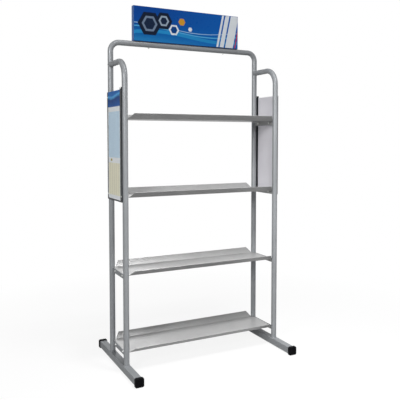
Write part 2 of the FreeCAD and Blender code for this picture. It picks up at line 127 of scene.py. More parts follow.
# %% World and lamps
SKY = (0.96, 0.98, 1.0)


def make_world(fill):
    world = bpy.data.worlds.new("studio")
    world.use_nodes = True
    tree = world.node_tree
    tree.nodes.clear()
    out = tree.nodes.new("ShaderNodeOutputWorld")
    mix = tree.nodes.new("ShaderNodeMixShader")
    faint = tree.nodes.new("ShaderNodeBackground")
    white = tree.nodes.new("ShaderNodeBackground")
    rays = tree.nodes.new("ShaderNodeLightPath").outputs
    faint.inputs["Color"].default_value = (*SKY, 1)
    faint.inputs["Strength"].default_value = fill
    white.inputs["Color"].default_value = (1, 1, 1, 1)
    mirrored = calc(tree, "MAXIMUM", rays["Is Camera Ray"], rays["Is Glossy Ray"])
    seen = calc(tree, "MAXIMUM", mirrored, rays["Is Transmission Ray"])
    wire(tree, (seen, mix.inputs[0]), (faint.outputs[0], mix.inputs[1]),
         (white.outputs[0], mix.inputs[2]), (mix.outputs[0], out.inputs[0]))
    bpy.context.scene.world = world


def soft_lamp(name, place, aim, size, watts, spread=180):
    data = bpy.data.lights.new(name, "AREA")
    data.shape = "RECTANGLE"
    data.size, data.size_y = size
    data.energy = watts
    data.spread = radians(spread)
    lamp = bpy.data.objects.new(name, data)
    lamp.location = place
    lamp.rotation_euler = (Vector(aim) - Vector(place)).to_track_quat("-Z", "Y").to_euler()
    bpy.context.scene.collection.objects.link(lamp)
    return lamp


make_world(fill=0.08)
lamps = [
    soft_lamp("lamp_near", (0.2, -1.25, 2.5), (0.2, -1.25, 0), (0.5, 0.4), 34, spread=120),
    soft_lamp("lamp_above", (0.2, -1.6, 5.2), (0, 0, 1.4), (2.0, 1.6), 60),
    soft_lamp("lamp_front", (-1.8, -5.6, 2.4), (0, 0, 1.0), (2.0, 2.0), 16),
    soft_lamp("lamp_left", (-3.8, -3.3, 2.6), (0, 0, 1.0), (1.4, 1.4), 150),
    soft_lamp("lamp_right", (4.4, 0.6, 2.4), (0, 0, 1.1), (1.6, 2.0), 34),
    soft_lamp("lamp_back", (0.6, 4.6, 2.4), (0, 0, 1.1), (2.0, 2.0), 35),
]
bpy.context.scene.view_settings.view_transform = "Standard"
print("lamps:", [(lamp.name, lamp.data.energy) for lamp in lamps])

# %% [markdown]
# ## Floor
#
# The rack stands on a white sweep. Its floor is a wide plate whose colour is mixed with
# plain white for the camera, so that it melts into the background but still keeps the
# soft shadow of the feet. A floor as white as that would throw light up under every lip
# and flatten the tubes, so for light that bounces off it the paper is a mid grey.

# %% Floor
FLOOR_DROP = 0.0002
PAPER_SEEN, PAPER_BOUNCE = 0.9, 0.3


def white_sweep(near, far):
    """Paper that melts into white when the camera or a reflection sees it.

    near and far: whiteness and radius where it holds, for the middle and the rest.
    """
    paint = bpy.data.materials.new("white_sweep")
    paint.use_nodes = True
    tree = paint.node_tree
    tree.nodes.clear()
    out = tree.nodes.new("ShaderNodeOutputMaterial")
    mix = tree.nodes.new("ShaderNodeMixShader")
    paper = tree.nodes.new("ShaderNodeBsdfDiffuse")
    glow = tree.nodes.new("ShaderNodeEmission")
    grey = tree.nodes.new("ShaderNodeMix")
    grey.data_type = "RGBA"
    distance = tree.nodes.new("ShaderNodeVectorMath")
    distance.operation = "LENGTH"
    whiteness = tree.nodes.new("ShaderNodeMapRange")
    place = tree.nodes.new("ShaderNodeTexCoord").outputs["Object"]
    rays = tree.nodes.new("ShaderNodeLightPath").outputs
    for name, value in zip(("To Min", "From Min", "To Max", "From Max"), (*near, *far)):
        whiteness.inputs[name].default_value = value
    bounced, seen_grey, bounce_grey = live(grey.inputs)
    seen_grey.default_value = (*[PAPER_SEEN] * 3, 1)
    bounce_grey.default_value = (*[PAPER_BOUNCE] * 3, 1)
    seen = calc(tree, "MAXIMUM", rays["Is Camera Ray"], rays["Is Glossy Ray"])
    wire(tree, (place, distance.inputs[0]), (distance.outputs["Value"], whiteness.inputs["Value"]))
    share = calc(tree, "MULTIPLY", seen, whiteness.outputs[0])
    wire(tree, (share, mix.inputs[0]), (rays["Is Diffuse Ray"], bounced),
         (live(grey.outputs)[0], paper.inputs["Color"]), (paper.outputs[0], mix.inputs[1]),
         (glow.outputs[0], mix.inputs[2]), (mix.outputs[0], out.inputs[0]))
    return paint


def make_floor(half, paint):
    mesh = bpy.data.meshes.new("floor")
    corners = [(-half, -half), (half, -half), (half, half), (-half, half)]
    mesh.from_pydata([(x, y, -FLOOR_DROP) for x, y in corners], [], [(0, 1, 2, 3)])
    mesh.materials.append(paint)
    floor = bpy.data.objects.new("floor", mesh)
    bpy.context.scene.collection.objects.link(floor)
    return floor


floor = make_floor(half=40, paint=white_sweep(near=(0.88, 0.7), far=(1.0, 2.2)))
print("floor is", floor.dimensions.x, "m wide")

# %% [markdown]
# ## A small kit for finishes
#
# Every finish below is built from the same few nodes: a pattern in the piece's own
# coordinates, a ramp that turns it into colour or roughness, and a bump that turns it
# into relief. Object coordinates are in metres here, so a noise of scale 900 has grains
# of about a millimetre.

# %% Material kit
class Finish:
    """A material under construction, with short names for the nodes that repeat."""

    def __init__(self, name):
        self.material = bpy.data.materials.new(name)
        self.material.use_nodes = True
        self.tree = self.material.node_tree
        self.tree.nodes.clear()
        self.shader = self.add("ShaderNodeBsdfPrincipled")
        out = self.add("ShaderNodeOutputMaterial")
        self.join(self.shader.outputs[0], out.inputs[0])
        self.where = self.add("ShaderNodeTexCoord").outputs["Object"]

    def add(self, kind, **settings):
        node = self.tree.nodes.new(kind)
        for name, value in settings.items():
            setattr(node, name, value)
        return node

    def join(self, start, end):
        self.tree.links.new(start, end)

    def put(self, **values):
        """Set plain values on the shader's own sockets."""
        for name, value in values.items():
            self.shader.inputs[name.replace("_", " ")].default_value = value

    def stretched(self, scale):
        node = self.add("ShaderNodeMapping")
        node.inputs["Scale"].default_value = scale
        self.join(self.where, node.inputs["Vector"])
        return node.outputs[0]

    def noise(self, scale, detail, stretch=None):
        node = self.add("ShaderNodeTexNoise")
        node.inputs["Scale"].default_value = scale
        node.inputs["Detail"].default_value = detail
        self.join(self.stretched(stretch) if stretch else self.where, node.inputs["Vector"])
        return node.outputs["Fac"]

    def ramp(self, signal, stops):
        node = self.add("ShaderNodeValToRGB")
        while len(node.color_ramp.elements) < len(stops):
            node.color_ramp.elements.new(0.5)
        for element, (position, colour) in zip(node.color_ramp.elements, stops):
            element.position = position
            element.color = (*colour, 1)
        self.join(signal, node.inputs[0])
        return node.outputs[0]

    def span(self, signal, low, high, start=0.3, end=0.7):
        """Value from low to high while the signal goes from start to end."""
        node = self.add("ShaderNodeMapRange")
        limits = {"From Min": start, "From Max": end, "To Min": low, "To Max": high}
        for name, value in limits.items():
            node.inputs[name].default_value = value
        self.join(signal, node.inputs["Value"])
        return node.outputs[0]

    def maths(self, operation, *values):
        return calc(self.tree, operation, *values)

    def blend(self, share, first, second, mode="MIX"):
        node = self.add("ShaderNodeMix", data_type="RGBA", blend_type=mode)
        for socket, value in zip(live(node.inputs), (share, first, second)):
            if isinstance(value, tuple):
                socket.default_value = (*value, 1)
            elif isinstance(value, (int, float)):
                socket.default_value = value
            else:
                self.join(value, socket)
        return live(node.outputs)[0]

    def relief(self, signal, depth, strength, below=None):
        node = self.add("ShaderNodeBump")
        node.inputs["Distance"].default_value = depth
        node.inputs["Strength"].default_value = strength
        self.join(signal, node.inputs["Height"])
        if below is not None:
            self.join(below, node.inputs["Normal"])
        return node.outputs[0]

    def colour(self, signal):
        self.join(signal, self.shader.inputs["Base Color"])

    def clouded(self, scale, detail, dark, light):
        """Base colour that wanders between two tones."""
        self.colour(self.ramp(self.noise(scale, detail), [(0.3, dark), (0.7, light)]))

    def roughness(self, signal):
        self.join(signal, self.shader.inputs["Roughness"])

    def normal(self, signal):
        self.join(signal, self.shader.inputs["Normal"])

    def surface(self, grain, rough, bumps, relief):
        """Uneven roughness and a fine relief.

        grain and bumps: scale and detail of a noise. relief: depth and strength.
        """
        self.roughness(self.span(self.noise(*grain), *rough))
        self.normal(self.relief(self.noise(*bumps), *relief))


print("finish kit is ready")

# %% [markdown]
# ## Silver-grey powder coat
#
# The frame and the shelves have a baked powder coat with fine metal flake. Up close it
# is a faint orange peel, from further away it is an even silver that is a little lighter
# or darker from place to place. The flake makes it about a fifth metallic, and the orange
# peel is a bump of a few hundredths of a millimetre. The frame's gloss has a near-black
# edge tint: painted shade that darkens the tubes where they are seen at a slant. The
# shelves also show hairlines from front to back, where packs slide in and out.

# %% Powder coats
# The frame's near-black edge tint is painted shade for the dark edges of its tubes.
FRAME_SILVER, FRAME_EDGE_SHADE = (0.290, 0.301, 0.313), (0.05, 0.05, 0.05)
SHELF_SILVER, SHELF_EDGE = (0.37, 0.37, 0.37), (1, 1, 1)
CLOUD_SPREAD, FLAKE_SPREAD = 0.05, 0.08
ROUGH_LESS, ROUGH_MORE = 0.05, 0.06
SCUFF_GAIN = 1.35


def shades(colour, spread):
    return tuple(c * (1 - spread) for c in colour), tuple(c * (1 + spread) for c in colour)


def powder_coat(name, colour, edge, metal, rough, hairlines=0.0, gloss=0.06):
    finish = Finish(name)
    dark, light = shades(colour, CLOUD_SPREAD)
    dull, bright = shades((1, 1, 1), FLAKE_SPREAD)
    clouds = finish.ramp(finish.noise(5, 4), [(0.35, dark), (0.65, light)])
    flake = finish.ramp(finish.noise(2600, 1), [(0.35, dull), (0.65, bright)])
    tone = finish.blend(1.0, clouds, flake, "MULTIPLY")
    peel = finish.relief(finish.noise(650, 2), 0.00005, 0.5)
    if hairlines:
        lines = finish.noise(1, 2, stretch=(1500, 14, 14))
        scuffs = finish.span(lines, 0, hairlines, 0.62, 0.72)
        tone = finish.blend(scuffs, tone, tuple(min(c * SCUFF_GAIN, 1) for c in colour))
        peel = finish.relief(lines, 0.00001, 0.2, below=peel)
    finish.colour(tone)
    finish.roughness(finish.span(finish.noise(38, 3), rough - ROUGH_LESS, rough + ROUGH_MORE))
    finish.normal(peel)
    finish.put(Metallic=metal, Specular_IOR_Level=gloss, Specular_Tint=(*edge, 1))
    return finish.material


frame_coat = powder_coat("frame_powder_coat", FRAME_SILVER, FRAME_EDGE_SHADE, metal=0.2, rough=0.34)
shelf_coat = powder_coat("shelf_powder_coat", SHELF_SILVER, SHELF_EDGE, metal=0.25, rough=0.36,
                         hairlines=0.35)
print("powder coats:", frame_coat.name, shelf_coat.name)

# %% [markdown]
# ## Black plastics
#
# The end caps of the feet are injection moulded, with a fine spark-eroded grain. The
# channels round the side panels are extruded, so their marks run along their length.

# %% Plastics
def moulded_black():
    finish = Finish("moulded_black")
    finish.clouded(60, 3, (0.003, 0.003, 0.004), (0.007, 0.007, 0.008))
    finish.surface(grain=(900, 2), rough=(0.42, 0.58), bumps=(1500, 2), relief=(0.00006, 0.5))
    finish.put(Specular_IOR_Level=0.03)
    return finish.material


def extruded_black():
    finish = Finish("extruded_black")
    finish.clouded(30, 2, (0.012, 0.014, 0.017), (0.022, 0.026, 0.030))
    streaks = finish.noise(1, 2, stretch=(1800, 1800, 12))
    finish.roughness(finish.span(streaks, 0.32, 0.46))
    finish.normal(finish.relief(streaks, 0.00003, 0.4))
    finish.put(Specular_IOR_Level=0.1)
    return finish.material


cap_black = moulded_black()
trim_black = extruded_black()
print("plastics:", cap_black.name, trim_black.name)

# %% [markdown]
# ## Panel board and zinc
#
# The side panels are pale plastic sheet with a slightly cloudy surface. Bolts, nuts and
# screws are zinc plated: bright metal whose brightness wanders a little.

# %% Board and zinc
def board():
    finish = Finish("panel_sheet")
    finish.clouded(7, 3, (0.73, 0.715, 0.76), (0.80, 0.785, 0.83))
    finish.surface(grain=(120, 3), rough=(0.42, 0.54), bumps=(420, 2), relief=(0.00004, 0.35))
    return finish.material


def zinc_plate():
    finish = Finish("zinc_plate")
    finish.clouded(420, 3, (0.58, 0.59, 0.58), (0.74, 0.74, 0.72))
    finish.surface(grain=(900, 2), rough=(0.22, 0.38), bumps=(2400, 2), relief=(0.00002, 0.4))
    finish.put(Metallic=1.0)
    return finish.material


panel_sheet = board()
zinc = zinc_plate()
print("board and zinc:", panel_sheet.name, zinc.name)

# %% [markdown]
# ## Printed header
#
# The header carries a printed film with a plain geometric design: a blue field that
# grows lighter towards its lower and its right side, three lighter waves, a cluster of
# hexagons and a few slanted bars. Each shape is a rule on two numbers, u from left to
# right and v from bottom to top, so it stays sharp at any distance.

# %% Header print
HEADER_LOW, HEADER_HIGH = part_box("header_graphic")


def print_coordinates(finish, low, high, across, flip=False):
    """u and v, both from 0 to 1, on a flat film between two corners."""
    split = finish.add("ShaderNodeSeparateXYZ")
    finish.join(finish.where, split.inputs[0])
    u = finish.span(split.outputs[across], 0, 1, low[across], high[across])
    v = finish.span(split.outputs[2], 0, 1, low[2], high[2])
    if flip:
        u = finish.maths("SUBTRACT", 1.0, u)
    return u, v


def band(finish, value, low, high, soft):
    """1 between two values, with soft edges."""
    up = finish.span(value, 0, 1, low - soft, low + soft)
    down = finish.span(value, 1, 0, high - soft, high + soft)
    return finish.maths("MULTIPLY", up, down)


def box_mark(finish, u, v, corners, soft=(0.004, 0.002)):
    """1 inside a rectangle given by its left, right, lower and upper side."""
    left, right, lower, upper = corners
    across, up = band(finish, u, left, right, soft[0]), band(finish, v, lower, upper, soft[1])
    return finish.maths("MULTIPLY", across, up)


def hexagon_mark(finish, u, v, centre, radius, aspect, soft=0.008):
    """1 inside a hexagon, from the larger of a slanted and an upright distance."""
    x = finish.maths("ABSOLUTE", finish.maths("MULTIPLY", finish.maths("SUBTRACT", u, centre[0]), aspect))
    y = finish.maths("ABSOLUTE", finish.maths("SUBTRACT", v, centre[1]))
    slanted = finish.maths("ADD", finish.maths("MULTIPLY", x, cos(pi / 6)),
                           finish.maths("MULTIPLY", y, sin(pi / 6)))
    return finish.span(finish.maths("MAXIMUM", slanted, y), 1, 0, radius - soft, radius + soft)


INK, NIGHT, STEEL = (0.004, 0.010, 0.028), (0.006, 0.016, 0.045), (0.16, 0.22, 0.32)
SILVER, PAPER = (0.30, 0.38, 0.48), (0.75, 0.79, 0.83)
AMBER, RED = (0.62, 0.30, 0.03), (0.55, 0.03, 0.03)
# height on the film and colour
HEADER_BLUES = [(0.0, (0.02, 0.21, 0.50)), (0.20, (0.006, 0.13, 0.40)),
                (0.55, (0.003, 0.065, 0.31)), (1.0, (0.003, 0.050, 0.27))]
HEADER_GLOW = (0.005, 0.115, 0.46)
WAVE_RATE, WAVE_HEIGHT, WAVE_SOFT = 5.2, 0.09, 0.008
BAR_SLANT, BAR_SOFT = 0.06, 0.0015
# height of a wave, where it starts in its swing, its thickness and colour
SWEEPS = [(0.17, 0.4, 0.10, (0.02, 0.25, 0.56)),
          (0.33, 1.1, 0.035, (0.08, 0.38, 0.68)),
          (0.43, 1.5, 0.014, (0.45, 0.70, 0.86))]
# centre, radius and colour, each drawn over the ones before
HEXAGONS = [((0.14, 0.52), 0.33, INK), ((0.14, 0.52), 0.22, STEEL), ((0.14, 0.52), 0.16, NIGHT),
            ((0.27, 0.64), 0.24, INK), ((0.27, 0.64), 0.15, SILVER), ((0.27, 0.64), 0.10, NIGHT),
            ((0.365, 0.40), 0.15, PAPER), ((0.365, 0.40), 0.10, (0.003, 0.05, 0.22)),
            ((0.44, 0.66), 0.10, AMBER), ((0.52, 0.46), 0.06, PAPER)]
# left and right side of a slanted bar and its colour
SLASHES = [(0.78, 0.80, PAPER), (0.815, 0.855, PAPER), (0.87, 0.95, PAPER), (0.965, 0.975, RED)]


def wave_at(finish, u, rate, height, swing=0.0):
    angle = finish.maths("ADD", finish.maths("MULTIPLY", u, rate), swing)
    return finish.maths("MULTIPLY", finish.maths("SINE", angle), height)


def header_print():
    finish = Finish("header_print")
    u, v = print_coordinates(finish, HEADER_LOW, HEADER_HIGH, 0)
    aspect = (HEADER_HIGH.x - HEADER_LOW.x) / (HEADER_HIGH.z - HEADER_LOW.z)
    rightward = finish.span(u, 0, 0.75, 0.15, 0.85)
    tone = finish.blend(rightward, finish.ramp(v, HEADER_BLUES), HEADER_GLOW)
    for height, swing, thick, colour in SWEEPS:
        line = finish.maths("SUBTRACT", v, wave_at(finish, u, WAVE_RATE, WAVE_HEIGHT, swing))
        tone = finish.blend(band(finish, line, height, height + thick, WAVE_SOFT), tone, colour)
    for centre, radius, colour in HEXAGONS:
        tone = finish.blend(hexagon_mark(finish, u, v, centre, radius, aspect), tone, colour)
    slant = finish.maths("SUBTRACT", u, finish.maths("MULTIPLY", v, BAR_SLANT))
    for start, end, colour in SLASHES:
        tone = finish.blend(band(finish, slant, start, end, BAR_SOFT), tone, colour)
    finish.colour(tone)
    finish.surface(grain=(90, 3), rough=(0.26, 0.36), bumps=(240, 2), relief=(0.00003, 0.3))
    finish.put(Specular_IOR_Level=0.1)
    return finish.material


def header_enamel():
    finish = Finish("header_enamel")
    finish.clouded(8, 3, (0.010, 0.070, 0.26), (0.016, 0.095, 0.32))
    finish.surface(grain=(60, 3), rough=(0.30, 0.42), bumps=(650, 2), relief=(0.00004, 0.4))
    finish.put(Specular_IOR_Level=0.2)
    return finish.material


header_film = header_print()
header_coat = header_enamel()
header_size = HEADER_HIGH - HEADER_LOW
print("header film:", round(header_size.x, 3), "by", round(header_size.z, 3), "m")

# %% [markdown]
# ## Printed chart on the left panel
#
# The film outside the left panel is laid out like a chart: a blue head, a pale blue block
# of columns, a white gap with a small dark mark, and a pale yellow block. It is made of
# plain fields and rules.

# %% Chart print
CHART_LOW, CHART_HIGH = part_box("side_chart_left")


def stripes(finish, value, count, share, soft):
    """Thin lines that divide a length into equal cells."""
    cell = finish.maths("FRACT", finish.maths("MULTIPLY", value, count))
    return finish.span(cell, 1, 0, share - soft, share + soft)


# width of the chart that a block takes, then its lowest and its highest point
BLUE_BLOCK = (0.04, 0.96, 0.385, 0.81)
AMBER_BLOCK = (0.04, 0.96, 0.035, 0.335)
KEY_MARK = (0.22, 0.34, 0.352, 0.372)
KEY_TONE = (0.42, 0.36, 0.08)
SHEET_WHITE = (0.90, 0.93, 0.95)
# field, upright rules and level rules of a block
BLUE_TONES = (0.66, 0.84, 0.98), (0.42, 0.56, 0.72), (0.28, 0.38, 0.54)
AMBER_TONES = (0.93, 0.90, 0.70), (0.62, 0.59, 0.46), (0.46, 0.43, 0.33)
ROWS, ROW_SHARE, ROW_SOFT, ROW_STRENGTH = 96, 0.16, 0.05, 0.35
HEAD_START, HEAD_SOFT = 0.855, 0.002
HEAD_WAVE_RATE, HEAD_WAVE_HEIGHT = 5.0, 0.012
# height on the chart and colour
HEAD_BLUES = [(0.855, (0.01, 0.10, 0.38)), (0.93, (0.003, 0.05, 0.22)),
              (0.955, (0.10, 0.42, 0.82)), (0.972, (0.012, 0.14, 0.46))]


def table_block(finish, u, v, columns, thin, field, rule, row_rule):
    """Field of cells with upright rules and fainter level ones."""
    tone = finish.blend(stripes(finish, u, columns, thin, thin * 0.3), field, rule)
    rows = stripes(finish, v, ROWS, ROW_SHARE, ROW_SOFT)
    return finish.blend(finish.maths("MULTIPLY", rows, ROW_STRENGTH), tone, row_rule)


def chart_head(finish, u, v):
    wave = wave_at(finish, u, HEAD_WAVE_RATE, HEAD_WAVE_HEIGHT)
    return finish.ramp(finish.maths("ADD", v, wave), HEAD_BLUES)


def chart_print():
    finish = Finish("chart_print")
    u, v = print_coordinates(finish, CHART_LOW, CHART_HIGH, 1, flip=True)
    blue = table_block(finish, u, v, 9, 0.10, *BLUE_TONES)
    amber = table_block(finish, u, v, 6, 0.07, *AMBER_TONES)
    tone = SHEET_WHITE
    for corners, fill in ((BLUE_BLOCK, blue), (AMBER_BLOCK, amber), (KEY_MARK, KEY_TONE)):
        tone = finish.blend(box_mark(finish, u, v, corners), tone, fill)
    above = finish.span(v, 0, 1, HEAD_START - HEAD_SOFT, HEAD_START + HEAD_SOFT)
    finish.colour(finish.blend(above, tone, chart_head(finish, u, v)))
    finish.surface(grain=(90, 3), rough=(0.28, 0.38), bumps=(240, 2), relief=(0.00003, 0.3))
    finish.put(Specular_IOR_Level=0.02)
    return finish.material


chart_film = chart_print()
chart_size = CHART_HIGH - CHART_LOW
print("chart film:", round(chart_size.y, 3), "by", round(chart_size.z, 3), "m")

# %% [markdown]
# ## Dress the CAD solids
#
# A solid whose shape is right keeps its mesh and only gets a finish. The names of the
# nodes say what each one is, so a short list of name starts is enough. The first start
# that fits counts.

# %% Finishes on the solids
FINISHES = {
    "rear_hoop": frame_coat, "front_post": frame_coat, "crossbar": frame_coat,
    "foot_cap": cap_black, "foot_left": frame_coat, "foot_right": frame_coat,
    "shelf_bolts": zinc, "shelf_nuts": zinc, "header_bolts": zinc, "header_nuts": zinc,
    "panel_screws": zinc, "shelf_": shelf_coat, "header_tray": header_coat,
    "header_graphic": header_film, "side_panel": panel_sheet, "side_chart": chart_film,
    "panel_trim": trim_black, "panel_sill": trim_black,
}


def finish_for(name):
    return next(material for start, material in FINISHES.items() if name.startswith(start))


for name, node in nodes.items():
    node.data.materials.clear()
    node.data.materials.append(finish_for(name))
print("finished solids:", len(nodes))

# %% [markdown]
# ## Weld beads
#
# Every joint of the frame is welded and then coated, so a soft ripple shows round each
# foot of an upright, round the two coped ends of the front posts and down both faces of
# each cross bar's ends. A bead follows a seam, so a Geometry Nodes tree sweeps a small
# round section along the seam lines and lets its radius swell and shrink with length.

# %% Geometry Nodes kit
def new_tree(name, numbers):
    """Empty tree with geometry in and out and named numbers for its sizes."""
    tree = bpy.data.node_groups.new(name, "GeometryNodeTree")
    tree.interface.new_socket("Geometry", in_out="INPUT", socket_type="NodeSocketGeometry")
    tree.interface.new_socket("Geometry", in_out="OUTPUT", socket_type="NodeSocketGeometry")
    for label, start in numbers.items():
        kind = "NodeSocketInt" if isinstance(start, int) else "NodeSocketFloat"
        tree.interface.new_socket(label, in_out="INPUT", socket_type=kind).default_value = start
    return tree, tree.nodes.new("NodeGroupInput"), tree.nodes.new("NodeGroupOutput")


def finish_tree(tree, geometry, out, material):
    """Real faces with one material at the end of a tree."""
    real = tree.nodes.new("GeometryNodeRealizeInstances")
    paint = tree.nodes.new("GeometryNodeSetMaterial")
    paint.inputs["Material"].default_value = material
    wire(tree, (geometry, real.inputs[0]), (real.outputs[0], paint.inputs[0]),
         (paint.outputs[0], out.inputs[0]))


def grow(name, mesh, tree, sizes, stands_for=()):
    """Run a tree on a mesh, keep the result as a plain piece and tie it to the frame."""
    source = bpy.data.objects.new(name + "_source", mesh)
    bpy.context.scene.collection.objects.link(source)
    modifier = source.modifiers.new("tree", "NODES")
    modifier.node_group = tree
    for item in tree.interface.items_tree:
        if item.in_out == "INPUT" and item.name in sizes:
            modifier[item.identifier] = sizes[item.name]
    graph = bpy.context.evaluated_depsgraph_get()
    result = bpy.data.meshes.new_from_object(source.evaluated_get(graph))
    source.modifiers.remove(modifier)
    bpy.data.objects.remove(source)
    piece = bpy.data.objects.new(name, result)
    bpy.context.scene.collection.objects.link(piece)
    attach(piece, "root")
    if stands_for:
        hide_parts(*stands_for)
    print(name, "has", len(result.polygons), "faces")


print("geometry kit is ready")

# %% Seams of the frame
bar_low, bar_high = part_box("crossbar_right_bottom")
hoop_low, hoop_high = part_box("rear_hoop")
HALF_WIDTH = (bar_low.x + bar_high.x) / 2
HALF_DEPTH = (hoop_low.y + hoop_high.y) / 2
TUBE = hoop_high.x - HALF_WIDTH
BAR_HALF = (bar_high.x - bar_low.x) / 2
BAR_HEIGHT = bar_high.z - bar_low.z
FOOT_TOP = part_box("foot_right")[1].z
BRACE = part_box("front_post_right")[1].z - TUBE
LEVELS = [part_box(f"crossbar_right_{name}")[1].z
          for name in ("bottom", "lower_middle", "upper_middle", "top")]
# how far a bead's middle line lies off the surfaces it joins
RING_OUT, RING_UP, SADDLE_OUT, BAR_OUT, BAR_END = 0.0006, 0.0004, 0.0005, 0.0003, 0.0015


def seam_mesh(loops, lines):
    """Closed loops and open lines of points as edges of one mesh."""
    mesh = bpy.data.meshes.new("seams")
    points, edges = [], []
    for run, closed in [(loop, True) for loop in loops] + [(line, False) for line in lines]:
        first = len(points)
        points += run
        edges += [(first + i, first + i + 1) for i in range(len(run) - 1)]
        if closed:
            edges.append((first + len(run) - 1, first))
    mesh.from_pydata(points, edges, [])
    return mesh


def foot_ring(side, end, steps=40):
    """Where an upright stands on its foot."""
    ring = TUBE + RING_OUT
    turns = [tau * i / steps for i in range(steps)]
    return [(side * HALF_WIDTH + ring * cos(turn), end * HALF_DEPTH + ring * sin(turn),
             FOOT_TOP + RING_UP) for turn in turns]


def saddle(side, steps=48):
    """Where a front post meets the rear upright of the same diameter."""
    ring = TUBE + SADDLE_OUT
    turns = [tau * i / steps for i in range(steps)]
    return [(side * HALF_WIDTH + ring * cos(turn), HALF_DEPTH - ring * abs(sin(turn)),
             BRACE + ring * sin(turn)) for turn in turns]


def bar_seam(side, end, face, level, steps=8):
    """Down one face of a cross bar where it meets an upright."""
    x = side * HALF_WIDTH + face * (BAR_HALF + BAR_OUT)
    y = end * (HALF_DEPTH - sqrt(TUBE ** 2 - BAR_HALF ** 2))
    low, high = level - BAR_HEIGHT + BAR_END, level - BAR_END
    return [(x, y, low + (high - low) * i / steps) for i in range(steps + 1)]


rings = [foot_ring(side, end) for side in SIDES for end in SIDES] + [saddle(side) for side in SIDES]
bar_seams = [bar_seam(side, end, face, level)
             for side in SIDES for end in SIDES for face in SIDES for level in LEVELS]
print("seams:", len(rings), "rings and", len(bar_seams), "short lines")

# %% Bead tree
BEAD = {"Bead Radius": 0.0019, "Ripple Length": 0.0035, "Ripple Depth": 0.10, "Step": 0.0009}


def bead_tree():
    tree, start, out = new_tree("weld_bead", BEAD)
    to_curve = tree.nodes.new("GeometryNodeMeshToCurve")
    even = tree.nodes.new("GeometryNodeResampleCurve")
    even.mode = "LENGTH"
    along = tree.nodes.new("GeometryNodeSplineParameter")
    section = tree.nodes.new("GeometryNodeCurvePrimitiveCircle")
    section.inputs["Resolution"].default_value = 8
    section.inputs["Radius"].default_value = 1.0
    sweep = tree.nodes.new("GeometryNodeCurveToMesh")
    sweep.inputs["Fill Caps"].default_value = True
    smooth = tree.nodes.new("GeometryNodeSetShadeSmooth")
    turns = calc(tree, "DIVIDE", along.outputs["Length"], start.outputs["Ripple Length"])
    swell = calc(tree, "SINE", calc(tree, "MULTIPLY", turns, tau))
    share = calc(tree, "MULTIPLY_ADD", swell, start.outputs["Ripple Depth"], 1.0)
    radius = calc(tree, "MULTIPLY", share, start.outputs["Bead Radius"])
    wire(tree, (start.outputs["Geometry"], to_curve.inputs["Mesh"]),
         (to_curve.outputs["Curve"], even.inputs["Curve"]),
         (start.outputs["Step"], even.inputs["Length"]),
         (even.outputs["Curve"], sweep.inputs["Curve"]),
         (section.outputs["Curve"], sweep.inputs["Profile Curve"]),
         (radius, sweep.inputs["Scale"]),
         (sweep.outputs["Mesh"], smooth.inputs["Geometry"]))
    finish_tree(tree, smooth.outputs[0], out, frame_coat)
    return tree


grow("weld_beads", seam_mesh(rings, bar_seams), bead_tree(), BEAD)

# %% [markdown]
# ## Bolts, nuts and screws
#
# Each shelf is held by four button-head bolts with a hexagon socket and four nuts. The
# CAD model has them as plain turned solids, so here a better blank is lathed once for
# each kind and a Geometry Nodes tree puts a copy on every mark, with its own small turn,
# since no fitter leaves all sockets lined up. The blanks for the header's bolts and the
# panels' screws, which have star drives, are made the same way.

# %% Blanks
AROUND = 24
PITCH_STEP, THREAD_DEPTH, TIP_DEPTH = 0.001, 0.0003, 0.0004
THREAD_START = 0.35
# shares of the way in from the rim to the flat, and of the dome's height
DOME_CURVE = [(0, 0), (0, 0.12), (0.2025, 0.50), (0.45, 0.78)]
# how far outside the flat's edge the dome passes, and its share of height there
DOME_EDGE = [(0.0006, 0.96), (0.0002, 1)]
NUT_CORNER, NUT_CHAMFER = 0.52, 0.09


def lathe(name, rings):
    """Closed mesh from rings of radius and height; a radius may be a rule on the angle."""
    mesh = bpy.data.meshes.new(name)
    shape = bmesh.new()
    rows = []
    for radius, height in rings:
        row = []
        for i in range(AROUND):
            angle = tau * i / AROUND
            reach = radius(angle) if callable(radius) else radius
            row.append(shape.verts.new((reach * cos(angle), reach * sin(angle), height)))
        rows.append(row)
    for lower, upper in zip(rows, rows[1:]):
        for i in range(AROUND):
            j = (i + 1) % AROUND
            shape.faces.new((lower[i], lower[j], upper[j], upper[i]))
    shape.faces.new(rows[-1])
    shape.faces.new(list(reversed(rows[0])))
    bmesh.ops.recalc_face_normals(shape, faces=shape.faces)
    shape.to_mesh(mesh)
    shape.free()
    return bpy.data.objects.new(name, mesh)


def hexagon(across):
    """Distance from the middle to the side of a hexagon at an angle."""
    return lambda angle: across / 2 / cos((angle + pi / 6) % (pi / 3) - pi / 6)


def lobes(radius, depth):
    """Six-lobed outline, as in a star drive."""
    return lambda angle: radius + depth * cos(6 * angle)


def threaded(radius, start, end):
    """Rings that step down from start to end in ridges, and a narrower tip."""
    rings = []
    height = start
    while height > end + PITCH_STEP:
        rings += [(radius, height), (radius - THREAD_DEPTH, height - PITCH_STEP / 2)]
        height -= PITCH_STEP
    return rings + [(radius, height), (radius - TIP_DEPTH, end)]


def domed_bolt(name, head, dome, flat, shank, length, drive, drive_depth):
    """Head above zero, shank below, socket sunk into the flat."""
    rings = list(reversed(threaded(shank, -length * THREAD_START, -length))) + [(shank, 0.0)]
    rings += [(head / 2 - (head - flat) / 2 * inward, dome * up) for inward, up in DOME_CURVE]
    rings += [(flat / 2 + outward, dome * up) for outward, up in DOME_EDGE]
    return lathe(name, rings + [(drive, dome), (drive, dome - drive_depth)])


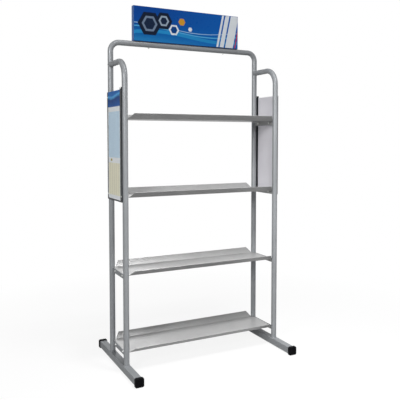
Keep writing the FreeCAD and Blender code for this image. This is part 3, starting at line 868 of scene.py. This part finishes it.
def hexagon_nut(name, width, height, bore):
    """Nut that hangs below zero, its corners turned off at both ends."""
    side = hexagon(width)
    chamfer = height * NUT_CHAMFER

    def turned(angle):
        return min(side(angle), width * NUT_CORNER)

    middle = (bore, -height / 2)
    blank = lathe(name, [middle, (bore, -height), (turned, -height), (side, -height + chamfer),
                         (side, -chamfer), (turned, 0.0), (bore, 0.0), middle])
    shape = bmesh.new()
    shape.from_mesh(blank.data)
    caps = [face for face in shape.faces if len(face.verts) == AROUND]
    bmesh.ops.delete(shape, geom=caps, context="FACES_ONLY")
    bmesh.ops.remove_doubles(shape, verts=shape.verts, dist=1e-6)
    bmesh.ops.recalc_face_normals(shape, faces=shape.faces)
    shape.to_mesh(blank.data)
    shape.free()
    return blank


BOLT = {"head": 0.0105, "dome": 0.0033, "flat": 0.0046, "shank": 0.003,
        "drive": hexagon(0.004), "drive_depth": 0.002}
SCREW = {"head": 0.0076, "dome": 0.0024, "flat": 0.0042, "shank": 0.002,
         "drive": lobes(0.0015, 0.0003), "drive_depth": 0.0014}
NUT = {"width": 0.010, "height": 0.005, "bore": 0.00305}
SHELF_BOLT_LENGTH, HEADER_BOLT_LENGTH, SCREW_LENGTH = 0.0127, 0.0402, 0.016
bolt_blank = domed_bolt("bolt_blank", length=SHELF_BOLT_LENGTH, **BOLT)
long_blank = domed_bolt("long_bolt_blank", length=HEADER_BOLT_LENGTH, **BOLT)
nut_blank = hexagon_nut("nut_blank", **NUT)
screw_blank = domed_bolt("screw_blank", length=SCREW_LENGTH, **SCREW)
for blank in (bolt_blank, long_blank, nut_blank, screw_blank):
    print(blank.name, "has", len(blank.data.polygons), "faces")

# %% Marks for the fasteners
SCREW_INSET = 0.030


def mark_mesh(marks):
    """Points that carry the way their fastener points."""
    mesh = bpy.data.meshes.new("marks")
    mesh.from_pydata([place for place, _ in marks], [], [])
    aim = mesh.attributes.new("aim", "FLOAT_VECTOR", "POINT")
    for data, (_, way) in zip(aim.data, marks):
        data.vector = way
    return mesh


def side_marks(names, width, dome):
    """Marks at the corners of each group's box on both sides, a dome inside its outer face."""
    marks = []
    for name in names:
        low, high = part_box(name)
        height = (low.z + high.z) / 2
        marks += [((side * (high.x - dome), end * (high.y - width / 2), height), (side, 0, 0))
                  for side in SIDES for end in SIDES]
    return marks


bolt_nodes = sorted(name for name in nodes if name.startswith("shelf_bolts"))
nut_nodes = sorted(name for name in nodes if name.startswith("shelf_nuts"))
bolt_marks = side_marks(bolt_nodes, BOLT["head"], BOLT["dome"])
nut_marks = side_marks(nut_nodes, NUT["width"], 0)
header_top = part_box("header_bolts")[1]
header_column = header_top.x - BOLT["head"] / 2
header_marks = [((side * header_column, HALF_DEPTH, header_top.z - BOLT["dome"]), (0, 0, 1))
                for side in SIDES]
header_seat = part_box("header_nuts")[1].z
header_nut_marks = [((place[0], place[1], header_seat), way) for place, way in header_marks]


def screw_marks():
    """Two screws an edge. The upper one sits in the tab, which is front left and rear right."""
    low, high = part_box("panel_screws_right")
    half_head = SCREW["head"] / 2
    panel_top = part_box("side_panel_right")[1].z
    marks = []
    for side in SIDES:
        for end in SIDES:
            upper = high.z - half_head if end == side else panel_top - SCREW_INSET
            for level in (low.z + half_head, upper):
                place = (side * (high.x - SCREW["dome"]), end * (high.y - half_head), level)
                marks.append((place, (side, 0, 0)))
    return marks


panel_marks = screw_marks()
print("marks:", len(bolt_marks), len(nut_marks), len(header_marks), len(panel_marks))

# %% Fastener tree
TURN_MOST = 1.04


def fastener_tree(name, blank, material, numbers):
    """A copy of the blank on every mark, pointed along its aim and turned at random."""
    tree, start, out = new_tree(name, numbers)
    aim = tree.nodes.new("GeometryNodeInputNamedAttribute")
    aim.data_type = "FLOAT_VECTOR"
    aim.inputs["Name"].default_value = "aim"
    point = tree.nodes.new("FunctionNodeAlignRotationToVector")
    point.axis = "Z"
    turn = tree.nodes.new("FunctionNodeRandomValue")
    turn.data_type = "FLOAT"
    spin = tree.nodes.new("FunctionNodeAxisAngleToRotation")
    spin.inputs["Axis"].default_value = (0, 0, 1)
    both = tree.nodes.new("FunctionNodeRotateRotation")
    both.rotation_space = "LOCAL"
    source = tree.nodes.new("GeometryNodeObjectInfo")
    source.inputs["Object"].default_value = blank
    copies = tree.nodes.new("GeometryNodeInstanceOnPoints")
    least, most, *_, seed = live(turn.inputs)
    least.default_value = 0.0
    wire(tree, (start.outputs["Geometry"], copies.inputs["Points"]),
         (source.outputs["Geometry"], copies.inputs["Instance"]),
         (aim.outputs[0], point.inputs["Vector"]),
         (start.outputs["Turn"], most),
         (start.outputs["Seed"], seed),
         (live(turn.outputs)[0], spin.inputs["Angle"]),
         (point.outputs[0], both.inputs["Rotation"]),
         (spin.outputs[0], both.inputs["Rotate By"]),
         (both.outputs[0], copies.inputs["Rotation"]))
    finish_tree(tree, copies.outputs[0], out, material)
    return tree


def fit(name, marks, blank, seed, stands_for):
    numbers = {"Turn": TURN_MOST, "Seed": seed}
    tree = fastener_tree(name + "_tree", blank, zinc, numbers)
    return grow(name, mark_mesh(marks), tree, numbers, stands_for)


fit("shelf_button_bolts", bolt_marks, bolt_blank, 3, bolt_nodes)
fit("shelf_hexagon_nuts", nut_marks, nut_blank, 5, nut_nodes)
fit("header_button_bolts", header_marks, long_blank, 7, ["header_bolts"])
fit("header_hexagon_nuts", header_nut_marks, nut_blank, 9, ["header_nuts"])
fit("panel_star_screws", panel_marks, screw_blank, 11, ["panel_screws_left", "panel_screws_right"])
for blank in (bolt_blank, long_blank, nut_blank, screw_blank):
    bpy.data.objects.remove(blank)
